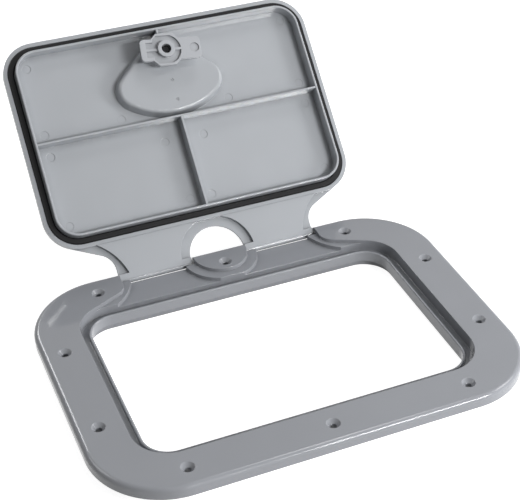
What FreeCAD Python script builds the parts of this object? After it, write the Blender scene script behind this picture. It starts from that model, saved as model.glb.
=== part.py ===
import FreeCAD, Part

import math
import os

Vector = FreeCAD.Vector

# A hinged deck hatch in moulded plastic. Millimetres, +Z up, X along the hinge, the hinge at +Y.
# The origin is on the deck, at the middle of the hatch, and the frame's flange stands on the deck.
# The lid is drawn closed and then swung open to the position in which the part rests.

# Frame: the screw flange
FRAME_LENGTH = 375.0
FRAME_WIDTH = 275.0
FRAME_CORNER = 66.0
FLANGE_HEIGHT = 10.0
FLANGE_ROUNDING = 4.0
SHELL = 3.0

# Frame: the opening, its rain gutter, sealing lip and skirt. Depths are measured down from the top face.
OPENING_LENGTH = 299.0
OPENING_WIDTH = 199.0
OPENING_CORNER = 32.0
GUTTER_WIDTH = 7.0
GUTTER_DEPTH = 11.5
GUTTER_WALL = 2.5
LIP_WALL = 2.4
LIP_DEPTH = 7.0
LIP_CHAMFER = 0.7
LIP_FOOT_DEPTH = 17.0
SKIRT_STEP = 3.6
SKIRT_WALL = 2.5
SKIRT_DEPTH = 23.5

# Frame: the fixing screws
SCREW_PITCH = 120.0
SCREW_INSET = 20.0
SIDE_SCREW_INSET = 18.5
SIDE_SCREW_SPACING = 98.0
SCREW_HOLE_RADIUS = 2.6
COUNTERSINK_RADIUS = 5.75
SCREW_BOSS_RADIUS = 7.5
FLANGE_RIB = 2.0

# Frame: the hinge bay at the back, and the D-shaped boss in the middle of it
BAY_WIDTH = 191.6
BAY_FLANK_ANGLE = 25.5
BAY_CORNER = 13.5
BAY_DEPTH = 7.0
LEDGE_DEPTH = 3.4
FLANK_CIRCLE_X = 137.5
FLANK_CIRCLE_INSET = -5.9
FLANK_CIRCLE_RADIUS = 53.0
D_BOSS_RADIUS = 25.2
D_BOSS_INSET = 5.5
D_LEDGE_WIDTH = 9.2

# Hinge: each tongue of the lid has a thick end, with a pin at both sides
HINGE_INSET = 3.3
HINGE_DEPTH = 4.8
OPEN_ANGLE = 135.4
END_FRONT = 4.4
END_BACK = 4.8
END_TOP_ROUNDING = 4.0
END_LOW_ROUNDING = 3.0
END_STEP = 1.0
END_CLEARANCE = 0.8
PIN_RADIUS = 1.0
PIN_GRIP = 12.0
PIN_REACH = 8.0
PIN_FIT = 0.02
PIN_RUNNING = 0.06
PIN_BLOCK_WALL = 3.2
CUT_MARGIN = 1.0

# Lid
COVER_GAP = 0.8
TONGUE_EASE = 3.5
COVER_CHAMFER = 0.9
PLATE = 3.0
RIM_DEPTH = 6.1
RIM_WIDTH = 3.7
PAD_DEPTH = 6.6
PAD_GAP = 0.9
D_GAP = 1.1
WALL_GAP = 1.2
WALL_THICKNESS = 2.5
WALL_DRAFT = 0.4
WALL_DEPTH = 15.5
WALL_CHAMFER = 0.5
RIB_BASE = 2.4
RIB_TIP = 1.8
RIB_DEPTH = 15.2
MID_RIB_Y = -0.8
EJECTOR_RADIUS = 4.0
EJECTOR_DEPTH = 0.25
EJECTOR_INSET = 10.5
RIB_MARK_INSET = 19.0
FAN_MARK_X = 53.0

# Lid: the fan-shaped handle pocket, which bulges from the lid's underside
PIVOT_Y = -62.0
FAN_HALF_ANGLE = 48.0
FAN_APEX = 18.0
FAN_CORNER = 16.5
FAN_END_RADIUS = 71.3
FAN_END_SETBACK = 15.5
FAN_DEPTH = 13.0
FAN_WALL = 2.5
FAN_SLOPE = 0.25
FAN_ROUNDING = 3.6
SPINDLE_BOSS_RADIUS = 8.5
SPINDLE_BOSS_DEPTH = 21.5
GATE_X = 1.5
GATE_RADIUS = 1.5
GATE_NIB_RADIUS = 0.6
GATE_DEPTH = 0.4
GATE_REACHES = (25.4, 44.9)

# Gasket
GASKET_SIDE_GAP = 0.3
GASKET_CHAMFER = 0.8
GASKET_CLEARANCE = 0.2

# Latch: lever, spindle, seal, cam, washer and screw
LATCH_REST_ANGLE = 6.5
LEVER_ANGLE = 138.5
LEVER_HUB_RADIUS = 12.5
LEVER_TIP_RADIUS = 8.0
LEVER_LENGTH = 38.0
LEVER_TOP = 1.0
LEVER_FLOOR_GAP = 0.5
LEVER_CHAMFER = 1.2
SPINDLE_RADIUS = 4.5
SPINDLE_RUNNING = 0.06
SQUARE = 6.4
SQUARE_FIT = 0.05
SEAL_SECTION = 1.3
SEAL_DEPTH = 16.0
SEAL_FIT = 0.03
CAM_GAP = 0.3
CAM_THICKNESS = 4.0
HUB_RADIUS = 8.0
HUB_BORE = 4.5
HUB_HEIGHT = 2.2
HUB_SEAT = 0.4
CAM_ARM = 33.0
CAM_TAIL = 24.0
CAM_WIDTH = 20.8
CAM_CORNER = 3.5
CAM_BODY_LENGTH = 28.0
CAM_BODY_WIDTH = 31.0
CAM_BODY_CHAMFER = 6.0
CAM_POCKET_DEPTH = 2.2
CAM_POCKET_RADIUS = 14.3
CAM_POCKET_WALL = 2.0
CAM_WEB = 2.4
CAM_CHANNEL_DEPTH = 2.0
CAM_CHANNEL_END = 5.3
CAM_CHANNEL_WALL = 3.1
CAM_PAD_RADIUS = 4.5
CAM_PAD_REACH = 27.0
CAM_PAD_DEPTH = 1.0
WASHER_RADIUS = 4.2
WASHER_THICKNESS = 0.8
SCREW_SHANK_RADIUS = 1.9
SCREW_HEAD_RADIUS = 3.3
SCREW_HEAD_HEIGHT = 1.7
SCREW_HEAD_CHAMFER = 0.5
SCREW_LENGTH = 12.0
SCREW_END_GAP = 1.0
SCREW_SLOT = 1.0
SCREW_SLOT_REACH = 2.0
SCREW_SLOT_DEPTH = 0.9

# Places worked out from the sizes above
TOP = FLANGE_HEIGHT
HALF_WIDTH = FRAME_WIDTH / 2
HINGE_Y = HALF_WIDTH - HINGE_INSET
HINGE_Z = TOP - HINGE_DEPTH
D_BOSS_Y = HALF_WIDTH - D_BOSS_INSET
FLANK_CIRCLE_Y = HALF_WIDTH - FLANK_CIRCLE_INSET
LIP_INSET = GUTTER_WIDTH + LIP_WALL
WALL_INSET = LIP_INSET + WALL_GAP
UNDERSIDE = TOP - PLATE
BAY_SIDE = BAY_WIDTH / 2
TONGUE_START = D_BOSS_RADIUS + D_GAP
TONGUE_END = BAY_SIDE - COVER_GAP
CAM_TOP = TOP - SKIRT_DEPTH - CAM_GAP
CAM_BOTTOM = CAM_TOP - CAM_THICKNESS
HUB_TOP = TOP - SPINDLE_BOSS_DEPTH - CAM_GAP
HUB_BOTTOM = CAM_BOTTOM - HUB_HEIGHT
SCREW_SEAT = CAM_TOP - HUB_SEAT


def point(x, y, z=0.0):
    return Vector(x, y, z)


def line(start, end):
    return Part.LineSegment(start, end).toShape()


def on_circle(centre, radius, angle):
    """The point of a level circle at an angle in degrees."""
    turn = math.radians(angle)
    return centre + Vector(radius * math.cos(turn), radius * math.sin(turn), 0)


def arc(centre, radius, start, end):
    """An arc in a level plane, from one angle to another, the short way between them."""
    middle = (start + end) / 2
    return Part.Arc(*[on_circle(centre, radius, angle) for angle in (start, middle, end)]).toShape()


def closed_path(arcs):
    """Joins arcs, given as (centre, radius, start, end), by straight lines into one closed wire."""
    edges = []
    for index, (centre, radius, start, end) in enumerate(arcs):
        edges.append(arc(centre, radius, start, end))
        next_centre, next_radius, next_start, _ = arcs[(index + 1) % len(arcs)]
        here = on_circle(centre, radius, end)
        there = on_circle(next_centre, next_radius, next_start)
        if here.distanceToPoint(there) > 1e-6:
            edges.append(line(here, there))
    return Part.Wire(edges)


def prism(wire, height):
    return Part.Face(wire).extrude(Vector(0, 0, height))


def cylinder(radius, low, high, x=0.0, y=0.0):
    return Part.makeCylinder(radius, high - low, Vector(x, y, low))


def bar_along_x(radius, start, end, y, z):
    return Part.makeCylinder(radius, end - start, Vector(start, y, z), Vector(1, 0, 0))


def block(x0, x1, y0, y1, z0, z1):
    return Part.makeBox(x1 - x0, y1 - y0, z1 - z0, Vector(x0, y0, z0))


def polygon(points, z):
    corners = [Vector(x, y, z) for x, y in points]
    return Part.makePolygon(corners + corners[:1])


def mirrored(shape):
    """The shape and its copy on the other side of the hatch's middle, in one."""
    return [shape, shape.mirror(Vector(0, 0, 0), Vector(1, 0, 0))]


def rounded_rectangle(half_length, half_width, radius, z):
    x, y = half_length - radius, half_width - radius
    return closed_path([
        (point(x, y, z), radius, 0, 90),
        (point(-x, y, z), radius, 90, 180),
        (point(-x, -y, z), radius, 180, 270),
        (point(x, -y, z), radius, 270, 360),
    ])


def inset_outline(inset, z):
    """The opening's outline moved inwards by a distance, or outwards where it is negative."""
    return rounded_rectangle(OPENING_LENGTH / 2 - inset, OPENING_WIDTH / 2 - inset, OPENING_CORNER - inset, z)


def inset_slab(inset, low, high):
    return prism(inset_outline(inset, low), high - low)


def ring(outer_inset, inner_inset, low, high):
    return inset_slab(outer_inset, low, high).cut(inset_slab(inner_inset, low, high))


def tapered_slab(low_inset, low, high_inset, high):
    return Part.makeLoft([inset_outline(low_inset, low), inset_outline(high_inset, high)], True, True)


def cover_outline(gap, back, z, ease=0.0):
    """The opening with the hinge bay behind it, drawn in by a gap: the frame's edge and the lid's.

    The lid's inner corners are eased to a larger radius than the frame's, which they still clear.
    """
    lean = math.radians(BAY_FLANK_ANGLE)
    corner = point(OPENING_LENGTH / 2 - OPENING_CORNER, OPENING_WIDTH / 2 - OPENING_CORNER, z)
    radius = OPENING_CORNER - gap
    side = BAY_SIDE - gap
    bend = BAY_CORNER + ease if ease else BAY_CORNER + gap
    leave = on_circle(corner, radius, 90 - BAY_FLANK_ANGLE)
    meet = leave.y + (leave.x - side) * math.tan(lean)
    turn_y = meet + bend * math.tan((math.pi / 2 - lean) / 2)
    turn = point(side + bend, turn_y, z)
    front = point(corner.x, -corner.y, z)
    right = [
        arc(front, radius, 270, 360),
        line(on_circle(front, radius, 0), on_circle(corner, radius, 0)),
        arc(corner, radius, 0, 90 - BAY_FLANK_ANGLE),
        line(leave, on_circle(turn, bend, 270 - BAY_FLANK_ANGLE)),
        arc(turn, bend, 270 - BAY_FLANK_ANGLE, 180),
        line(on_circle(turn, bend, 180), point(side, back, z)),
    ]
    left = [edge.mirror(Vector(0, 0, 0), Vector(1, 0, 0)) for edge in right]
    front_edge = line(on_circle(front, radius, 270), point(-front.x, front.y - radius, z))
    back_edge = line(point(side, back, z), point(-side, back, z))
    return Part.Wire(Part.__sortEdges__(right + left + [front_edge, back_edge]))


def d_outline(radius, back, z):
    """A half disc that faces the front, carried straight back."""
    centre = point(0, D_BOSS_Y, z)
    return Part.Wire([
        arc(centre, radius, 180, 360),
        line(point(radius, D_BOSS_Y, z), point(radius, back, z)),
        line(point(radius, back, z), point(-radius, back, z)),
        line(point(-radius, back, z), point(-radius, D_BOSS_Y, z)),
    ])


def fan_outline(grow, z):
    """The handle pocket's outline on the flat of its bulge, grown by a distance."""
    half = math.radians(FAN_HALF_ANGLE)
    pivot = point(0, PIVOT_Y, z)
    end = point(0, PIVOT_Y - FAN_END_SETBACK, z)
    # Each corner's centre runs beside the pocket's straight side and lies inside the end's arc
    aside = FAN_APEX - FAN_CORNER
    inside = FAN_END_RADIUS - FAN_CORNER
    start_x = aside * math.cos(half)
    start_y = -aside * math.sin(half) + FAN_END_SETBACK
    towards = start_x * math.sin(half) + start_y * math.cos(half)
    along = -towards + math.sqrt(towards ** 2 + inside ** 2 - start_x ** 2 - start_y ** 2)
    corner_x = start_x + along * math.sin(half)
    corner_y = start_y + along * math.cos(half)
    swing = math.degrees(math.atan2(corner_y, corner_x))
    right = point(corner_x, end.y + corner_y, z)
    left = point(-corner_x, end.y + corner_y, z)
    return closed_path([
        (pivot, FAN_APEX + grow, 180 + FAN_HALF_ANGLE, 360 - FAN_HALF_ANGLE),
        (right, FAN_CORNER + grow, -FAN_HALF_ANGLE, swing),
        (end, FAN_END_RADIUS + grow, swing, 180 - swing),
        (left, FAN_CORNER + grow, 180 - swing, 180 + FAN_HALF_ANGLE),
    ])


def fan_solid(low, high, wall):
    """The bulge between two heights, with its sloping sides moved in by a wall."""
    flat = TOP - FAN_DEPTH
    lower = fan_outline((low - flat) * FAN_SLOPE - wall, low)
    upper = fan_outline((high - flat) * FAN_SLOPE - wall, high)
    return Part.makeLoft([lower, upper], True, True)


def edges_at(shape, z):
    """The edges that lie wholly at one height."""
    return [edge for edge in shape.Edges if abs(edge.BoundBox.ZMin - z) < 1e-4 and edge.BoundBox.ZLength < 1e-4]


def edge_along_x(shape, y, z):
    """The edge that runs along X at a place."""
    boxes = [(edge, edge.BoundBox) for edge in shape.Edges if edge.BoundBox.YLength + edge.BoundBox.ZLength < 1e-4]
    return [edge for edge, box in boxes if abs(box.YMin - y) < 1e-4 and abs(box.ZMin - z) < 1e-4]


def row_screws():
    """The screws along the front and the back."""
    row = HALF_WIDTH - SCREW_INSET
    return [(x, y) for x in (-SCREW_PITCH, 0.0, SCREW_PITCH) for y in (-row, row)]


def side_screws():
    side = FRAME_LENGTH / 2 - SIDE_SCREW_INSET
    half = SIDE_SCREW_SPACING / 2
    return [(x, y) for x in (-side, side) for y in (-half, half)]


def flange():
    """The flange as a shell, with a boss under each screw and a rib through each boss."""
    outline = rounded_rectangle(FRAME_LENGTH / 2, HALF_WIDTH, FRAME_CORNER, 0)
    body = prism(outline, TOP)
    body = body.makeFillet(FLANGE_ROUNDING, edges_at(body, TOP))

    inner = rounded_rectangle(FRAME_LENGTH / 2 - SHELL, HALF_WIDTH - SHELL, FRAME_CORNER - SHELL, 0)
    core = prism(inner, TOP - SHELL)
    core = core.cut(inset_slab(-GUTTER_WALL, 0, TOP))
    core = core.cut(prism(cover_outline(-SHELL, HALF_WIDTH, 0), TOP))
    core = core.fuse(prism(d_outline(D_BOSS_RADIUS - SHELL, HALF_WIDTH - SHELL, 0), TOP - SHELL))
    half = FLANGE_RIB / 2
    for x, y in row_screws():
        core = core.cut(cylinder(SCREW_BOSS_RADIUS, 0, TOP, x, y))
        core = core.cut(block(x - half, x + half, y - FRAME_CORNER, y + FRAME_CORNER, 0, TOP))
    for x, y in side_screws():
        core = core.cut(cylinder(SCREW_BOSS_RADIUS, 0, TOP, x, y))
        core = core.cut(block(x - FRAME_CORNER, x + FRAME_CORNER, y - half, y + half, 0, TOP))
    for side in mirrored(pin_block(BAY_SIDE, 1)) + mirrored(pin_block(D_BOSS_RADIUS, -1)):
        core = core.cut(side)
    return body.cut(core)


def pin_block(wall, away):
    """The thick part behind a wall in which a hinge pin turns."""
    depth = PIN_REACH + PIN_BLOCK_WALL
    start, end = sorted((wall, wall + away * depth))
    half = PIN_RADIUS + PIN_BLOCK_WALL
    return block(start, end, HINGE_Y - half, HALF_WIDTH, 0, TOP)


def frame():
    body = flange()

    # Hinge bay: a shallow level all over, and a deeper floor inside the ledges
    shallow = prism(cover_outline(0, HALF_WIDTH + SHELL, TOP - LEDGE_DEPTH), TOP)
    shallow = shallow.cut(prism(d_outline(D_BOSS_RADIUS, HALF_WIDTH + SHELL, 0), TOP))
    deep = prism(cover_outline(0, HALF_WIDTH + SHELL, TOP - BAY_DEPTH), TOP)
    deep = deep.cut(prism(d_outline(D_BOSS_RADIUS + D_LEDGE_WIDTH, HALF_WIDTH + SHELL, 0), TOP))
    for circle in mirrored(cylinder(FLANK_CIRCLE_RADIUS, 0, TOP, FLANK_CIRCLE_X, FLANK_CIRCLE_Y)):
        deep = deep.cut(circle)
    body = body.cut(shallow).cut(deep)

    # Gutter, lip and skirt
    body = body.cut(inset_slab(0, 0, TOP))
    gutter_floor = TOP - GUTTER_DEPTH
    neck_low = gutter_floor - GUTTER_WALL
    body = body.fuse(ring(-GUTTER_WALL, 0, neck_low, TOP - BAY_DEPTH))
    body = body.fuse(ring(0, GUTTER_WIDTH, neck_low, gutter_floor))
    lip_foot = TOP - LIP_FOOT_DEPTH
    lip = ring(GUTTER_WIDTH, LIP_INSET, lip_foot, TOP - LIP_DEPTH)
    lip = lip.makeChamfer(LIP_CHAMFER, edges_at(lip, TOP - LIP_DEPTH))
    skirt_outer = LIP_INSET - SKIRT_STEP - SKIRT_WALL
    skirt = ring(skirt_outer, LIP_INSET - SKIRT_STEP, TOP - SKIRT_DEPTH, lip_foot)
    step = ring(skirt_outer, LIP_INSET, lip_foot, neck_low)
    body = body.fuse(lip).fuse(step).fuse(skirt)

    # Room in which the ends of the tongues turn, open at the back
    scoop = END_BACK + END_CLEARANCE
    slot = bar_along_x(scoop, D_BOSS_RADIUS, BAY_SIDE, HINGE_Y, HINGE_Z)
    behind = block(D_BOSS_RADIUS, BAY_SIDE, HINGE_Y, HALF_WIDTH + CUT_MARGIN, -CUT_MARGIN, TOP + CUT_MARGIN)
    slot = slot.fuse(behind)
    for side in mirrored(slot):
        body = body.cut(side)

    # Pin bores
    bore = PIN_RADIUS + PIN_RUNNING
    reach = PIN_REACH + COVER_GAP
    outer = bar_along_x(bore, BAY_SIDE - CUT_MARGIN, BAY_SIDE + reach, HINGE_Y, HINGE_Z)
    inner = bar_along_x(bore, D_BOSS_RADIUS - reach, D_BOSS_RADIUS + CUT_MARGIN, HINGE_Y, HINGE_Z)
    for side in mirrored(outer) + mirrored(inner):
        body = body.cut(side)

    # Countersunk screw holes
    sink = COUNTERSINK_RADIUS - SCREW_HOLE_RADIUS
    for x, y in row_screws() + side_screws():
        body = body.cut(cylinder(SCREW_HOLE_RADIUS, -CUT_MARGIN, TOP + CUT_MARGIN, x, y))
        cone = Part.makeCone(SCREW_HOLE_RADIUS, COUNTERSINK_RADIUS, sink, Vector(x, y, TOP - sink))
        body = body.cut(cone)
    return body.removeSplitter()


def lid_plate():
    """The plate with its two hinge tongues, the D-shaped cut-out between them and a chamfered edge."""
    plate = prism(cover_outline(COVER_GAP, HINGE_Y, UNDERSIDE, TONGUE_EASE), PLATE)
    plate = plate.cut(prism(d_outline(D_BOSS_RADIUS + D_GAP, HALF_WIDTH, UNDERSIDE), PLATE))
    edge = [e for e in edges_at(plate, TOP) if abs(e.BoundBox.YMin - HINGE_Y) > 1e-4]
    return plate.makeChamfer(COVER_CHAMFER, edge)


def lid_rim():
    """The thick rim that drops into the gutter, and the thick pads of the tongues."""
    rim = ring(COVER_GAP, COVER_GAP + RIM_WIDTH, TOP - RIM_DEPTH, UNDERSIDE)
    low = TOP - PAD_DEPTH
    pad = prism(cover_outline(COVER_GAP, HINGE_Y, low, TONGUE_EASE), UNDERSIDE - low)
    pad = pad.cut(block(-FRAME_LENGTH, FRAME_LENGTH, -FRAME_WIDTH, 0, low, UNDERSIDE))
    pad = pad.cut(inset_slab(COVER_GAP, low, UNDERSIDE))
    pad = pad.cut(prism(d_outline(D_BOSS_RADIUS + D_LEDGE_WIDTH + PAD_GAP, HALF_WIDTH, low), UNDERSIDE - low))
    flank = FLANK_CIRCLE_RADIUS + PAD_GAP
    for circle in mirrored(cylinder(flank, low, UNDERSIDE, FLANK_CIRCLE_X, FLANK_CIRCLE_Y)):
        pad = pad.cut(circle)
    return rim.fuse(pad)


def tongue_end():
    """The thick end of a tongue, which holds the pins. Its back is rounded, so that it can turn over.

    The tongue's pad ends in a small step a little behind the pins.
    """
    low = TOP - RIM_DEPTH
    back = HINGE_Y + END_BACK
    body = block(TONGUE_START, TONGUE_END, HINGE_Y - END_FRONT, back, low, TOP)
    body = body.makeFillet(END_TOP_ROUNDING, edge_along_x(body, back, TOP))
    body = body.makeFillet(END_LOW_ROUNDING, edge_along_x(body, back, low))
    pad_low = TOP - PAD_DEPTH
    body = body.fuse(block(TONGUE_START, TONGUE_END, HINGE_Y - END_FRONT, HINGE_Y + END_STEP, pad_low, low))

    # The plate's chamfered edge goes on over the end
    cut = COVER_CHAMFER
    section = [(TONGUE_START, pad_low), (TONGUE_END, pad_low), (TONGUE_END, TOP - cut), (TONGUE_END - cut, TOP),
               (TONGUE_START + cut, TOP), (TONGUE_START, TOP - cut)]
    corners = [Vector(x, HINGE_Y - END_FRONT, z) for x, z in section]
    face = Part.Face(Part.makePolygon(corners + corners[:1]))
    return body.common(face.extrude(Vector(0, END_FRONT + END_BACK, 0)))


def rib(start, end, along_x):
    """A rib that hangs from the plate and narrows to its edge; start and end are its middle line."""
    low = TOP - RIB_DEPTH
    wide, narrow = RIB_BASE / 2, RIB_TIP / 2
    x, y = start
    if along_x:
        corners = [Vector(x, y - wide, UNDERSIDE), Vector(x, y + wide, UNDERSIDE),
                   Vector(x, y + narrow, low), Vector(x, y - narrow, low)]
    else:
        corners = [Vector(x - wide, y, UNDERSIDE), Vector(x + wide, y, UNDERSIDE),
                   Vector(x + narrow, y, low), Vector(x - narrow, y, low)]
    face = Part.Face(Part.makePolygon(corners + corners[:1]))
    return face.extrude(Vector(end[0] - x, end[1] - y, 0))


def lid():
    body = lid_plate().fuse(lid_rim())
    for end in mirrored(tongue_end()):
        body = body.fuse(end)

    # Perimeter wall
    low = TOP - WALL_DEPTH
    wall = tapered_slab(WALL_INSET + WALL_DRAFT, low, WALL_INSET, UNDERSIDE)
    hollow = inset_slab(WALL_INSET + WALL_THICKNESS, low, UNDERSIDE)
    wall = wall.cut(hollow)
    wall = wall.makeChamfer(WALL_CHAMFER, edges_at(wall, low))
    body = body.fuse(wall)

    # Ribs: one across, one from the hinge side to it, and a short one from the far wall to the pocket
    inside_x = OPENING_LENGTH / 2 - WALL_INSET - WALL_THICKNESS / 2
    inside_y = OPENING_WIDTH / 2 - WALL_INSET - WALL_THICKNESS / 2
    body = body.fuse(rib((-inside_x, MID_RIB_Y), (inside_x, MID_RIB_Y), True))
    body = body.fuse(rib((0, MID_RIB_Y), (0, inside_y), False))
    body = body.fuse(rib((0, -inside_y), (0, PIVOT_Y - FAN_APEX), False))

    # Handle pocket and spindle boss
    bulge = fan_solid(TOP - FAN_DEPTH, UNDERSIDE, 0)
    bulge = bulge.makeFillet(FAN_ROUNDING, edges_at(bulge, TOP - FAN_DEPTH))
    body = body.fuse(bulge)
    boss_low = TOP - SPINDLE_BOSS_DEPTH
    body = body.fuse(cylinder(SPINDLE_BOSS_RADIUS, boss_low, TOP - FAN_DEPTH, 0, PIVOT_Y))
    pocket = fan_solid(TOP - FAN_DEPTH + FAN_WALL, TOP, FAN_WALL)
    body = body.cut(pocket)
    for reach in GATE_REACHES:
        body = body.cut(gate_mark(reach))
    body = body.cut(cylinder(SPINDLE_RADIUS + SPINDLE_RUNNING, boss_low, TOP, 0, PIVOT_Y))

    # Bores for the hinge pins
    bore = PIN_RADIUS + PIN_FIT
    outer = bar_along_x(bore, TONGUE_END - PIN_GRIP, BAY_SIDE, HINGE_Y, HINGE_Z)
    inner = bar_along_x(bore, D_BOSS_RADIUS, TONGUE_START + PIN_GRIP, HINGE_Y, HINGE_Z)
    for side in mirrored(outer) + mirrored(inner):
        body = body.cut(side)

    # Round marks that the mould's ejector pins leave in the corners of the compartments
    for x, y in ejector_places():
        body = body.cut(cylinder(EJECTOR_RADIUS, UNDERSIDE, UNDERSIDE + EJECTOR_DEPTH, x, y))
    return body.removeSplitter()


def gate_mark(reach):
    """The mark where the plastic flowed in: a round dip, with the nib of the cut sprue left in its middle."""
    low = TOP - FAN_DEPTH
    dip = cylinder(GATE_RADIUS, low, low + GATE_DEPTH, GATE_X, PIVOT_Y + reach)
    return dip.cut(cylinder(GATE_NIB_RADIUS, low, low + GATE_DEPTH, GATE_X, PIVOT_Y + reach))


def ejector_places():
    x = OPENING_LENGTH / 2 - WALL_INSET - WALL_THICKNESS - EJECTOR_INSET
    y = OPENING_WIDTH / 2 - WALL_INSET - WALL_THICKNESS - EJECTOR_INSET
    near = MID_RIB_Y + EJECTOR_INSET
    far = MID_RIB_Y - EJECTOR_INSET
    right = [(x, y), (x, near), (x, far), (x, -y), (EJECTOR_INSET, y)]
    right += [(RIB_MARK_INSET, MID_RIB_Y + RIB_MARK_INSET), (FAN_MARK_X, far)]
    return right + [(-px, py) for px, py in right]


def gasket():
    """The seal fills the groove between the rim and the perimeter wall, and closes on the frame's lip."""
    low = TOP - LIP_DEPTH + GASKET_CLEARANCE
    outer = COVER_GAP + RIM_WIDTH + GASKET_SIDE_GAP
    body = ring(outer, WALL_INSET - GASKET_SIDE_GAP, low, UNDERSIDE)
    return body.makeChamfer(GASKET_CHAMFER, edges_at(body, low))


def hinge_pins():
    """Four pins, by the end of the tongue in which each one sits."""
    outer = bar_along_x(PIN_RADIUS, TONGUE_END - PIN_GRIP, BAY_SIDE + PIN_REACH, HINGE_Y, HINGE_Z)
    inner = bar_along_x(PIN_RADIUS, D_BOSS_RADIUS - PIN_REACH, TONGUE_START + PIN_GRIP, HINGE_Y, HINGE_Z)
    outer_right, outer_left = mirrored(outer)
    inner_right, inner_left = mirrored(inner)
    return {"hinge_pin_outer_right": outer_right, "hinge_pin_outer_left": outer_left,
            "hinge_pin_inner_right": inner_right, "hinge_pin_inner_left": inner_left}


def latch_lever():
    """The lever in the pocket, moulded in one with its spindle."""
    low = TOP - FAN_DEPTH + FAN_WALL + LEVER_FLOOR_GAP
    high = TOP - LEVER_TOP
    lean = math.degrees(math.asin((LEVER_HUB_RADIUS - LEVER_TIP_RADIUS) / LEVER_LENGTH))
    outline = closed_path([
        (point(0, 0, low), LEVER_HUB_RADIUS, 90 - lean, 270 + lean),
        (point(LEVER_LENGTH, 0, low), LEVER_TIP_RADIUS, lean - 90, 90 - lean),
    ])
    handle = prism(outline, high - low)
    handle = handle.makeChamfer(LEVER_CHAMFER, edges_at(handle, high))
    handle.rotate(Vector(0, 0, 0), Vector(0, 0, 1), LEVER_ANGLE)
    spindle = cylinder(SPINDLE_RADIUS, HUB_TOP, low)
    half = SQUARE / 2
    drive = block(-half, half, -half, half, SCREW_SEAT, HUB_TOP)
    drive.rotate(Vector(0, 0, 0), Vector(0, 0, 1), LATCH_REST_ANGLE)
    groove_low = TOP - SEAL_DEPTH - SEAL_SECTION / 2
    groove_high = TOP - SEAL_DEPTH + SEAL_SECTION / 2
    groove = cylinder(SPINDLE_RADIUS, groove_low, groove_high)
    groove = groove.cut(cylinder(SPINDLE_RADIUS - SEAL_SECTION, groove_low, groove_high))
    body = handle.fuse(spindle).fuse(drive).cut(groove)
    body = body.cut(cylinder(SCREW_SHANK_RADIUS + PIN_FIT, SCREW_SEAT, SCREW_SEAT + SCREW_LENGTH))
    return body.removeSplitter()


def spindle_seal():
    """A flat ring in the spindle's groove, which it fills but for a fit all round."""
    half = SEAL_SECTION / 2 - SEAL_FIT
    middle = TOP - SEAL_DEPTH
    seal = cylinder(SPINDLE_RADIUS - SEAL_FIT, middle - half, middle + half)
    return seal.cut(cylinder(SPINDLE_RADIUS - SEAL_SECTION + SEAL_FIT, middle - half, middle + half))


def latch_cam():
    """The latch arm with its hub, moulded pockets and a square hole for the spindle."""
    low, high = CAM_BOTTOM, CAM_TOP
    half = CAM_WIDTH / 2
    body = block(-CAM_TAIL, CAM_ARM, -half, half, low, high)
    body = body.makeFillet(CAM_CORNER, [edge for edge in body.Edges if edge.BoundBox.ZLength > 1e-4])
    x, y, cut = CAM_BODY_LENGTH / 2, CAM_BODY_WIDTH / 2, CAM_BODY_CHAMFER
    middle = polygon([(x - cut, -y), (x, -y + cut), (x, y - cut), (x - cut, y),
                      (-x + cut, y), (-x, y - cut), (-x, -y + cut), (-x + cut, -y)], low)
    body = body.fuse(prism(middle, high - low))

    # Pockets on both sides of the web: their outer ends run round the hub towards the arm
    pocket_top = low + CAM_POCKET_DEPTH
    wall = CAM_POCKET_WALL
    side = y - wall
    room = cylinder(CAM_POCKET_RADIUS, low, pocket_top)
    room = room.common(block(0, CAM_POCKET_RADIUS, -side, side, low, pocket_top))
    tail_side = polygon([(0, -side), (0, side), (-x + cut, side), (-x + wall, y - cut),
                         (-x + wall, -y + cut), (-x + cut, -side)], low)
    room = room.fuse(prism(tail_side, CAM_POCKET_DEPTH))

    # Channels lead from the pockets into the tail
    channel_half = half - CAM_CHANNEL_WALL
    channel = block(-CAM_TAIL + CAM_CHANNEL_END, -x + wall, -channel_half, channel_half, low, low + CAM_CHANNEL_DEPTH)
    room = room.fuse(channel)
    room = room.cut(cylinder(HUB_RADIUS, low, pocket_top))
    room = room.cut(block(-CAM_TAIL, CAM_POCKET_RADIUS, -CAM_WEB / 2, CAM_WEB / 2, low, pocket_top))
    body = body.cut(room)
    body = body.cut(cylinder(CAM_PAD_RADIUS, low, low + CAM_PAD_DEPTH, CAM_PAD_REACH, 0))

    body = body.fuse(cylinder(HUB_RADIUS, HUB_BOTTOM, HUB_TOP))
    body = body.cut(cylinder(HUB_BORE, HUB_BOTTOM, SCREW_SEAT))
    hole = SQUARE / 2 + SQUARE_FIT
    body = body.cut(block(-hole, hole, -hole, hole, SCREW_SEAT, HUB_TOP))
    body = body.removeSplitter()
    body.rotate(Vector(0, 0, 0), Vector(0, 0, 1), LATCH_REST_ANGLE)
    return body


def cam_washer():
    washer = cylinder(WASHER_RADIUS, SCREW_SEAT - WASHER_THICKNESS, SCREW_SEAT)
    return washer.cut(cylinder(SCREW_SHANK_RADIUS + SQUARE_FIT, SCREW_SEAT - WASHER_THICKNESS, SCREW_SEAT))


def cam_screw():
    seat = SCREW_SEAT - WASHER_THICKNESS
    head = cylinder(SCREW_HEAD_RADIUS, seat - SCREW_HEAD_HEIGHT, seat)
    low = seat - SCREW_HEAD_HEIGHT
    head = head.makeChamfer(SCREW_HEAD_CHAMFER, edges_at(head, low))
    half, reach = SCREW_SLOT / 2, SCREW_SLOT_REACH
    slot = block(-reach, reach, -half, half, low, low + SCREW_SLOT_DEPTH)
    slot = slot.fuse(block(-half, half, -reach, reach, low, low + SCREW_SLOT_DEPTH))
    shank = cylinder(SCREW_SHANK_RADIUS, seat, SCREW_SEAT + SCREW_LENGTH - SCREW_END_GAP)
    return head.cut(slot).fuse(shank).removeSplitter()


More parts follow.
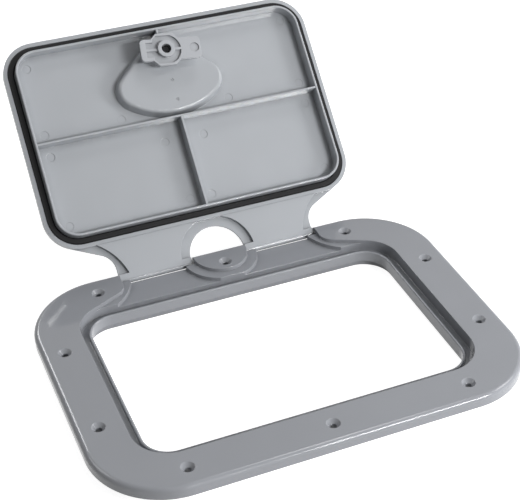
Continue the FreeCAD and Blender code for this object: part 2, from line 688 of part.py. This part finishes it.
def swung_open(shape):
    """A piece of the lid, moved from the closed position to the open one."""
    moved = shape.copy()
    moved.rotate(Vector(0, HINGE_Y, HINGE_Z), Vector(1, 0, 0), -OPEN_ANGLE)
    return moved


def on_pivot(shape):
    """A piece of the latch, drawn around the origin, moved to the spindle's place in the lid."""
    moved = shape.copy()
    moved.translate(Vector(0, PIVOT_Y, 0))
    return moved


def nodes():
    made = {"frame": frame()}
    made["lid"] = swung_open(lid())
    made["gasket"] = swung_open(gasket())
    for name, pin in hinge_pins().items():
        made[name] = swung_open(pin)
    made["latch_lever"] = swung_open(on_pivot(latch_lever()))
    made["spindle_seal"] = swung_open(on_pivot(spindle_seal()))
    made["latch_cam"] = swung_open(on_pivot(latch_cam()))
    made["cam_washer"] = swung_open(on_pivot(cam_washer()))
    made["cam_screw"] = swung_open(on_pivot(cam_screw()))
    return made


def main():
    os.makedirs("parts", exist_ok=True)
    for name, shape in nodes().items():
        shape.exportStep(os.path.join("parts", name + ".step"))
        print(name, "solids", len(shape.Solids), "valid", shape.isValid(), "volume", round(shape.Volume, 1))


main()
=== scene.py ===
# %% [markdown]
# # A hinged deck hatch, moulded in grey plastic
#
# The real thing is a screw-down frame with a gutter and a sealing lip, and a lid that folds back on two
# tongues. Almost all of what the eye reads as "plastic" is light: broad soft reflections, bright lines
# along rounded edges, and dark lines where two faces meet. The shapes come from the construction model,
# which is loaded as a fixed frame. This file makes the rest: camera, studio and finishes.

import math

import bmesh
import bpy
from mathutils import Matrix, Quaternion, Vector


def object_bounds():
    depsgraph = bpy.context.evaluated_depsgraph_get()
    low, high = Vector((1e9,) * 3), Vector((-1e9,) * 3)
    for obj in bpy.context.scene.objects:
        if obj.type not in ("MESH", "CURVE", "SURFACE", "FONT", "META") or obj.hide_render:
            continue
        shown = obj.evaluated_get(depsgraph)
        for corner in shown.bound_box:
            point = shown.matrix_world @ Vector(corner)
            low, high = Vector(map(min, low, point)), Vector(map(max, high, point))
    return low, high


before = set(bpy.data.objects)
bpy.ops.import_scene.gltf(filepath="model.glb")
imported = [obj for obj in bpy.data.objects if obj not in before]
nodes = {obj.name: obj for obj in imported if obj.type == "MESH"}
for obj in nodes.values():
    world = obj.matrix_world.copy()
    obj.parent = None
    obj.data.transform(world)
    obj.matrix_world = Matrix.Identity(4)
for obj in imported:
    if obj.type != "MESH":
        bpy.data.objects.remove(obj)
cad_low, cad_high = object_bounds()
print("nodes", sorted(nodes))
print("size in metres", [round(high - low, 4) for low, high in zip(cad_low, cad_high)])

# %% [markdown]
# ## Camera
#
# The picture was taken from the front, a little to the left and well above, with a long lens. A long lens
# keeps the far edge of the lid nearly as wide as the near one. The camera could be placed by eye, but a
# place, a heading and a pitch are easier to read and to change, so the view is written as those few
# numbers. The small shift slides the picture without turning the camera.

# %% The camera
CAMERA_PLACE = Vector((-0.3315, -0.8122, 0.7203))
HEADING = math.radians(23.08)
PITCH = math.radians(34.71)
ROLL = math.radians(-0.28)
LENS_MM = 92.3
SENSOR_MM = 36
PICTURE_WIDTH = 520
PIXELS_RIGHT = -30.5
PIXELS_UP = -14.5
NEAREST_SEEN = 0.05
FARTHEST_SEEN = 30

camera_data = bpy.data.cameras.new("studio_camera")
camera_data.lens = LENS_MM
camera_data.sensor_width = SENSOR_MM
camera_data.shift_x = PIXELS_RIGHT / PICTURE_WIDTH
camera_data.shift_y = PIXELS_UP / PICTURE_WIDTH
camera_data.clip_start = NEAREST_SEEN
camera_data.clip_end = FARTHEST_SEEN
camera = bpy.data.objects.new("studio_camera", camera_data)
bpy.context.scene.collection.objects.link(camera)
camera.location = CAMERA_PLACE
level_part = math.cos(PITCH)
view_line = Vector((math.sin(HEADING) * level_part, math.cos(HEADING) * level_part, -math.sin(PITCH)))
camera.rotation_mode = "QUATERNION"
camera.rotation_quaternion = view_line.to_track_quat("-Z", "Y") @ Quaternion((0, 0, 1), ROLL)
bpy.context.scene.camera = camera
bpy.context.scene.view_settings.view_transform = "Standard"
print("camera looks along", [round(part, 3) for part in view_line])

# %% [markdown]
# ## Node helpers
#
# Finishes, floor and world are all made of nodes. Each node could be made and wired line by line, but
# nearly every one needs the same three things: to be made, to have plain values set, and to have other
# sockets linked in. These helpers do that by the names that the sockets have in Blender, so the rest of
# the file reads like the node editor.


# %% Making and wiring nodes
def feed(tree, slot, value):
    """Link the value to the slot if it is a socket, or else set it there."""
    if isinstance(value, bpy.types.NodeSocket):
        tree.links.new(value, slot)
    else:
        slot.default_value = value


def new_node(tree, kind, values):
    """A node with its inputs set or linked by name."""
    node = tree.nodes.new(kind)
    for label, value in values.items():
        feed(tree, node.inputs[label], value)
    return node


def maths(tree, operation, first, second, clamp=False):
    """One step of arithmetic on two values, each a number or a socket."""
    node = tree.nodes.new("ShaderNodeMath")
    node.operation = operation
    node.use_clamp = clamp
    feed(tree, node.inputs[0], first)
    feed(tree, node.inputs[1], second)
    return node.outputs[0]


# %% [markdown]
# ## Floor and air
#
# A catalogue picture stands on a pale sweep of paper, which runs out to plain white. A curved sweep could
# be modelled, but a large flat floor under a white world looks the same. The floor is a light grey, so
# that it doesn't throw much light up under the lid. White is added to it, and to the world, only for rays
# that show the surroundings, which Light Path tells apart: those from the camera and those by way of
# gloss or glass.


# %% An empty material
def new_material(name):
    """An empty node material, its tree and its surface slot."""
    material = bpy.data.materials.new(name)
    material.use_nodes = True
    material.node_tree.nodes.clear()
    output = material.node_tree.nodes.new("ShaderNodeOutputMaterial")
    return material, material.node_tree, output.inputs["Surface"]


# %% Rays that show the surroundings
def seen_directly(tree):
    """One for rays that show the surroundings: from the camera, or by way of gloss or glass."""
    path = tree.nodes.new("ShaderNodeLightPath")
    mirrored = maths(tree, "MAXIMUM", path.outputs["Is Camera Ray"], path.outputs["Is Glossy Ray"])
    return maths(tree, "MAXIMUM", mirrored, path.outputs["Is Transmission Ray"])


# %% The floor
FLOOR_SIZE = 8.0
FLOOR_DROP = 0.0003
FLOOR_GREY = (0.55, 0.55, 0.55, 1)
WHITE_ADDED = 0.9
WHITE = (1, 1, 1, 1)

floor_mesh = bmesh.new()
bmesh.ops.create_grid(floor_mesh, x_segments=2, y_segments=2, size=FLOOR_SIZE / 2)
floor_data = bpy.data.meshes.new("floor")
floor_mesh.to_mesh(floor_data)
floor_mesh.free()
floor = bpy.data.objects.new("floor", floor_data)
bpy.context.scene.collection.objects.link(floor)
floor.location.z = cad_low.z - FLOOR_DROP

floor_paint, tree, surface = new_material("floor_paint")
matt = new_node(tree, "ShaderNodeBsdfDiffuse", {"Color": FLOOR_GREY})
strength = maths(tree, "MULTIPLY", seen_directly(tree), WHITE_ADDED)
glow = new_node(tree, "ShaderNodeEmission", {"Color": WHITE, "Strength": strength})
both = tree.nodes.new("ShaderNodeAddShader")
feed(tree, both.inputs[0], matt.outputs[0])
feed(tree, both.inputs[1], glow.outputs[0])
feed(tree, surface, both.outputs[0])
floor_data.materials.append(floor_paint)
print("floor at", round(floor.location.z, 4))

# %% The world
world = bpy.data.worlds.new("studio_air")
bpy.context.scene.world = world
world.use_nodes = True
air = world.node_tree
air.nodes.clear()
sky = new_node(air, "ShaderNodeBackground", {"Color": WHITE, "Strength": seen_directly(air)})
new_node(air, "ShaderNodeOutputWorld", {"Surface": sky.outputs[0]})
print("world", world.name, "with", len(air.nodes), "nodes")

# %% [markdown]
# ## Soft boxes
#
# The photograph's light is soft and comes from around the hatch. A ready-made picture of a studio could
# light it, but flat area lamps can be moved and dimmed one at a time. They stand on a dome around the
# hatch. Each has a bearing, counted from the front towards the right, and a height angle.
#
# Two strong ones stand low in front, because in the photograph the upright lid is lighter than the flat
# frame. One at the right and one behind on the left open up the shadows. The strip in front and the two
# small ones high up and at the rear are there for the gloss: rounded edges mirror them as bright lines.
# The lowest one is kept out of mirror images, because the flat frame, seen from low behind, would mirror
# it and turn white.

# %% The soft boxes
AIM = Vector((0.0, 0.1, 0.05))
BOX_DISTANCE = 1.8
LOWEST_MIRRORED = 22


def soft_box(name, bearing, height, wide, tall, watts):
    """A flat lamp on a dome around the hatch, turned towards it, with its width level."""
    turn = math.radians(bearing)
    lift = math.radians(height)
    away = Vector((math.sin(turn) * math.cos(lift), -math.cos(turn) * math.cos(lift), math.sin(lift)))
    lamp = bpy.data.lights.new(name, "AREA")
    lamp.shape = "RECTANGLE"
    lamp.size = wide
    lamp.size_y = tall
    lamp.energy = watts
    lamp_object = bpy.data.objects.new(name, lamp)
    bpy.context.scene.collection.objects.link(lamp_object)
    lamp_object.location = AIM + BOX_DISTANCE * away
    lamp_object.rotation_euler = (-away).to_track_quat("-Z", "Y").to_euler()
    lamp_object.visible_glossy = height > LOWEST_MIRRORED
    print(name, watts, "watts")


# The light on the upright lid
soft_box("key_box", bearing=27, height=27, wide=0.6, tall=0.3, watts=17.0)
soft_box("low_box", bearing=60, height=8, wide=0.5, tall=0.5, watts=14.0)
# The bright line along the front edges
soft_box("front_strip", bearing=22, height=27, wide=1.35, tall=0.12, watts=6.0)
# The light in the shadows
soft_box("right_box", bearing=75, height=40, wide=0.6, tall=0.6, watts=6.0)
soft_box("back_box", bearing=-120, height=45, wide=0.8, tall=0.8, watts=4.5)
# The bright lines along the other edges
soft_box("high_box", bearing=124, height=67, wide=0.5, tall=0.5, watts=5.0)
soft_box("rear_box", bearing=-171, height=40, wide=0.45, tall=0.45, watts=5.0)

# %% [markdown]
# ## Shared effects
#
# Three effects are used by more than one finish, so each is a node group that is built once. A group is
# made with named inputs, each with the value it has unless a finish gives another, and named outputs. The
# effects are worked out from the part's own metres, by the Object output of Texture Coordinate, so
# nothing has to be unwrapped.


# %% Groups and noise
def new_group(name, inputs, outputs):
    """A shader node group with number inputs, and outputs of the kinds given, and its two end nodes."""
    group = bpy.data.node_groups.new(name, "ShaderNodeTree")
    for label, value in inputs.items():
        socket = group.interface.new_socket(label, in_out="INPUT", socket_type="NodeSocketFloat")
        socket.default_value = value
    for label, kind in outputs.items():
        group.interface.new_socket(label, in_out="OUTPUT", socket_type=kind)
    start = group.nodes.new("NodeGroupInput")
    end = group.nodes.new("NodeGroupOutput")
    return group, start.outputs, end.inputs


def noise(tree, features_per_metre, detail):
    """Noise over the part's own metres."""
    place = tree.nodes.new("ShaderNodeTexCoord").outputs["Object"]
    texture = new_node(tree, "ShaderNodeTexNoise", {
        "Vector": place,
        "Scale": features_per_metre,
        "Detail": detail,
    })
    return texture.outputs["Fac"]


# %% [markdown]
# ### The skin of moulded plastic
#
# The steel of a mould is never quite flat, and the part shrinks a little as it cools, so a glossy face
# shows a slow ripple under a very fine grain. Both could be modelled, but they are only hundredths of a
# millimetre high, so they are a height for a Bump node. The ripple goes out a second time, as the flow
# that colour and roughness follow.

# %% The skin of moulded plastic
GRAIN_SHARE = 0.12

skin_group, start, end = new_group(
    "moulded_skin",
    {"Grain per metre": 2500.0, "Ripple per metre": 22.0},
    {"Height": "NodeSocketFloat", "Flow": "NodeSocketFloat"},
)
grain = noise(skin_group, start["Grain per metre"], detail=3.0)
ripple = noise(skin_group, start["Ripple per metre"], detail=1.0)
fine = maths(skin_group, "MULTIPLY", grain, GRAIN_SHARE)
feed(skin_group, end["Height"], maths(skin_group, "ADD", ripple, fine))
feed(skin_group, end["Flow"], ripple)
print("moulded skin", len(skin_group.nodes), "nodes")

# %% [markdown]
# ### Polished edges
#
# Moulded edges are slightly round, and handling polishes them in patches. The mesh's small roundings
# could be made finer, but the Bevel node does it in the shader: it gives the normal that a rounded edge
# would have. Where that leaves the true normal there is an edge, and this makes the mask.

# %% Polished edges
EDGE_RAYS = 6
EDGE_SHARPNESS = 6.0

edge_group, start, end = new_group(
    "edge_polish",
    {"Width": 0.0008, "Patchiness": 60.0},
    {"Edge": "NodeSocketFloat", "Rounded normal": "NodeSocketVector"},
)
bevel = new_node(edge_group, "ShaderNodeBevel", {"Radius": start["Width"]})
bevel.samples = EDGE_RAYS
geometry = edge_group.nodes.new("ShaderNodeNewGeometry")
likeness = edge_group.nodes.new("ShaderNodeVectorMath")
likeness.operation = "DOT_PRODUCT"
feed(edge_group, likeness.inputs[0], bevel.outputs[0])
feed(edge_group, likeness.inputs[1], geometry.outputs["Normal"])
turned = maths(edge_group, "SUBTRACT", 1.0, likeness.outputs["Value"])
strong = maths(edge_group, "MULTIPLY", turned, EDGE_SHARPNESS, clamp=True)
patch = noise(edge_group, start["Patchiness"], detail=2.0)
feed(edge_group, end["Edge"], maths(edge_group, "MULTIPLY", strong, patch))
feed(edge_group, end["Rounded normal"], bevel.outputs[0])
print("edge polish", len(edge_group.nodes), "nodes")

# %% [markdown]
# ### Painted shade in corners
#
# Corners, creases and the feet of walls are darkened in the colour, as painted shade where near faces
# shut out light. That could be painted by hand, but ambient occlusion finds the same places: it is low
# where near faces close a point in. Noise breaks the mask into patches.

# %% Painted shade in corners
CORNER_RAYS = 6

# The mask of painted shade: corners and creases are darkened in the colour where near faces shut out
# light.
corner_shade_group, start, end = new_group(
    "corner_painted_shade",
    {"Reach": 0.008, "Patchiness": 90.0},
    {"Painted shade": "NodeSocketFloat"},
)
openness = new_node(corner_shade_group, "ShaderNodeAmbientOcclusion", {"Distance": start["Reach"]})
openness.samples = CORNER_RAYS
closed_in = maths(corner_shade_group, "SUBTRACT", 1.0, openness.outputs["AO"])
patch = noise(corner_shade_group, start["Patchiness"], detail=3.0)
feed(corner_shade_group, end["Painted shade"], maths(corner_shade_group, "MULTIPLY", closed_in, patch, clamp=True))
print("corner painted shade", len(corner_shade_group.nodes), "nodes")

# %% [markdown]
# ## Spreading noise over colours and roughness
#
# Noise stays near the middle of its range, so used as it is it would hardly show. Map Range spreads it,
# and Mix lays it between two colours. Both are used by every finish, so each has its helper. The Mix node
# keeps its number, vector and colour sockets side by side under the same names, so the colour ones are
# picked by their places.

# %% Two helpers for finishes
NOISE_LOW = 0.15
NOISE_HIGH = 0.85
MIX_FIRST_COLOUR = 6
MIX_SECOND_COLOUR = 7
MIXED_COLOUR = 2


def spread(tree, noise_value, low, high):
    """Noise spread smoothly between two values."""
    node = new_node(tree, "ShaderNodeMapRange", {
        "Value": noise_value,
        "From Min": NOISE_LOW,
        "From Max": NOISE_HIGH,
        "To Min": low,
        "To Max": high,
    })
    node.interpolation_type = "SMOOTHSTEP"
    return node.outputs["Result"]


def mix_colour(tree, mask, first, second):
    """Two colours mixed by a mask."""
    node = tree.nodes.new("ShaderNodeMix")
    node.data_type = "RGBA"
    feed(tree, node.inputs["Factor"], mask)
    feed(tree, node.inputs[MIX_FIRST_COLOUR], first)
    feed(tree, node.inputs[MIX_SECOND_COLOUR], second)
    return node.outputs[MIXED_COLOUR]


# %% [markdown]
# ## Grey plastic
#
# Frame, lid and latch are moulded in one grey plastic, but not with one finish. The frame's top is
# glossy, the lid's underside came off a duller tool, and the latch is a smaller, satin moulding. Their
# base colours differ as well: the frame's is darker and the lid's and latch's lighter, which is painted
# shade and painted light. Three separate materials could be built, but one function makes all three: the
# colour drifts slowly where the melt flowed, the roughness follows the same flow, corners are a little
# darker with painted shade, and edges are a little smoother. The rounded normal from the edge group goes
# through a Bump node, so a hard edge of the model catches a thin line of light as a moulded edge does.

# %% A moulded grey plastic
PLASTIC_IOR = 1.49
RIPPLE_DEPTH = 0.00002
EDGE_POLISH = -0.03
# The colour that the painted shade in corners goes to.
PAINTED_SHADE_GREY = (0.12, 0.123, 0.126, 1)


def placed_group(tree, group, values):
    """A shared effect in a material, with that material's own values, and its outputs."""
    node = tree.nodes.new("ShaderNodeGroup")
    node.node_tree = group
    for label, value in values.items():
        feed(tree, node.inputs[label], value)
    return node.outputs


def grey_plastic(name, dark, light, roughness, edge_width):
    """Moulded plastic between two colours and two values of roughness; edge_width is in metres."""
    material, tree, surface = new_material(name)
    skin = placed_group(tree, skin_group, {})
    edges = placed_group(tree, edge_group, {"Width": edge_width})
    # Painted shade in corners and creases, mixed into the colour below.
    corner_shade = placed_group(tree, corner_shade_group, {})
    clean = mix_colour(tree, spread(tree, skin["Flow"], 0.0, 1.0), dark, light)
    polish = maths(tree, "MULTIPLY", edges["Edge"], EDGE_POLISH)
    bump = new_node(tree, "ShaderNodeBump", {
        "Distance": RIPPLE_DEPTH,
        "Height": skin["Height"],
        "Normal": edges["Rounded normal"],
    })
    shader = new_node(tree, "ShaderNodeBsdfPrincipled", {
        "IOR": PLASTIC_IOR,
        "Base Color": mix_colour(tree, corner_shade["Painted shade"], clean, PAINTED_SHADE_GREY),
        "Roughness": maths(tree, "ADD", spread(tree, skin["Flow"], *roughness), polish, clamp=True),
        "Normal": bump.outputs["Normal"],
    })
    feed(tree, surface, shader.outputs["BSDF"])
    return material


# The three base colours are lit and shaded copies of one grey: darker on the frame as painted shade,
# lighter on the lid and latch as painted light.
frame_grey = grey_plastic(
    "frame_grey",
    dark=(0.294, 0.305, 0.330, 1),
    light=(0.306, 0.317, 0.343, 1),
    roughness=(0.05, 0.08),
    edge_width=0.0008,
)
lid_grey = grey_plastic(
    "lid_grey",
    dark=(0.388, 0.405, 0.429, 1),
    light=(0.408, 0.425, 0.450, 1),
    roughness=(0.08, 0.12),
    edge_width=0.0007,
)
latch_grey = grey_plastic(
    "latch_grey",
    dark=(0.420, 0.434, 0.460, 1),
    light=(0.438, 0.453, 0.479, 1),
    roughness=(0.10, 0.14),
    edge_width=0.0005,
)
print("plastics", frame_grey.name, lid_grey.name, latch_grey.name)

# %% [markdown]
# ## Black rubber
#
# The seal is an extruded rubber cord, matt, with a faint bloom that makes it greyer in patches. Plain
# black would look like a gap in the lid, so the bloom moves both the colour and the roughness, and fine
# pores break up what little it mirrors.

# %% Rubber
RUBBER_IOR = 1.5
RUBBER_MIRRORING = 0.25
BLACK_RUBBER = (0.002, 0.002, 0.0025, 1)
BLOOMED_RUBBER = (0.006, 0.006, 0.007, 1)
RUBBER_ROUGHNESS = (0.42, 0.55)
BLOOMS_PER_METRE = 140.0
PORES_PER_METRE = 3200.0
PORE_DEPTH = 0.00003

seal_black, tree, surface = new_material("seal_black")
bloom = noise(tree, BLOOMS_PER_METRE, detail=4.0)
pores = noise(tree, PORES_PER_METRE, detail=2.0)
pitted = new_node(tree, "ShaderNodeBump", {"Distance": PORE_DEPTH, "Height": pores})
rubber = new_node(tree, "ShaderNodeBsdfPrincipled", {
    "IOR": RUBBER_IOR,
    "Specular IOR Level": RUBBER_MIRRORING,
    "Base Color": mix_colour(tree, bloom, BLACK_RUBBER, BLOOMED_RUBBER),
    "Roughness": spread(tree, bloom, *RUBBER_ROUGHNESS),
    "Normal": pitted.outputs["Normal"],
})
feed(tree, surface, rubber.outputs["BSDF"])
print("rubber", seal_black.name)

# %% [markdown]
# ## Steel
#
# The pins are stainless steel, turned and then tumbled, so they are bright but finely streaked. The screw
# deep in the latch's hub shows nearly black, with a tiny glint, so it and its washer get a nearly black
# steel colour: the shade of the deep hole is painted into them. Streaks could be cut into the mesh, but
# at this size a little change of colour, roughness and height is enough.

# %% Steel
STREAKS_PER_METRE = 1800.0
STREAK_DEPTH = 0.00001


def steel(name, dull, bright, roughness):
    """Metal with fine streaks, along which the colour and the roughness change a little."""
    material, tree, surface = new_material(name)
    streaks = noise(tree, STREAKS_PER_METRE, detail=2.0)
    scored = new_node(tree, "ShaderNodeBump", {"Distance": STREAK_DEPTH, "Height": streaks})
    shader = new_node(tree, "ShaderNodeBsdfPrincipled", {
        "Metallic": 1.0,
        "Base Color": mix_colour(tree, streaks, dull, bright),
        "Roughness": spread(tree, streaks, *roughness),
        "Normal": scored.outputs["Normal"],
    })
    feed(tree, surface, shader.outputs["BSDF"])
    return material


turned_steel = steel(
    "turned_steel",
    dull=(0.50, 0.50, 0.51, 1),
    bright=(0.62, 0.62, 0.63, 1),
    roughness=(0.22, 0.34),
)
# Nearly black steel for the screw and its washer: the shade of the deep hub hole, painted into their
# colour.
hub_shade_steel = steel(
    "hub_shade_steel",
    dull=(0.015, 0.015, 0.016, 1),
    bright=(0.035, 0.035, 0.037, 1),
    roughness=(0.16, 0.26),
)
print("steels", turned_steel.name, hub_shade_steel.name)

# %% [markdown]
# ## Dressing the pieces
#
# Each piece of the construction model is a separate node, as it would be on a bench, and keeps its shape
# and its place. Only its material is changed. The pieces are listed under their finish, so that a new one
# is easy to add.

# %% Dress the nodes
FINISHES = {
    frame_grey: ["frame"],
    lid_grey: ["lid"],
    latch_grey: ["latch_lever", "latch_cam"],
    seal_black: ["gasket", "spindle_seal"],
    turned_steel: [name for name in nodes if name.startswith("hinge_pin")],
    # The screw and washer carry the painted shade of the deep hub hole.
    hub_shade_steel: ["cam_washer", "cam_screw"],
}
for finish, names in FINISHES.items():
    for name in names:
        mesh = nodes[name].data
        mesh.materials.clear()
        mesh.materials.append(finish)
    print(finish.name, "on", names)
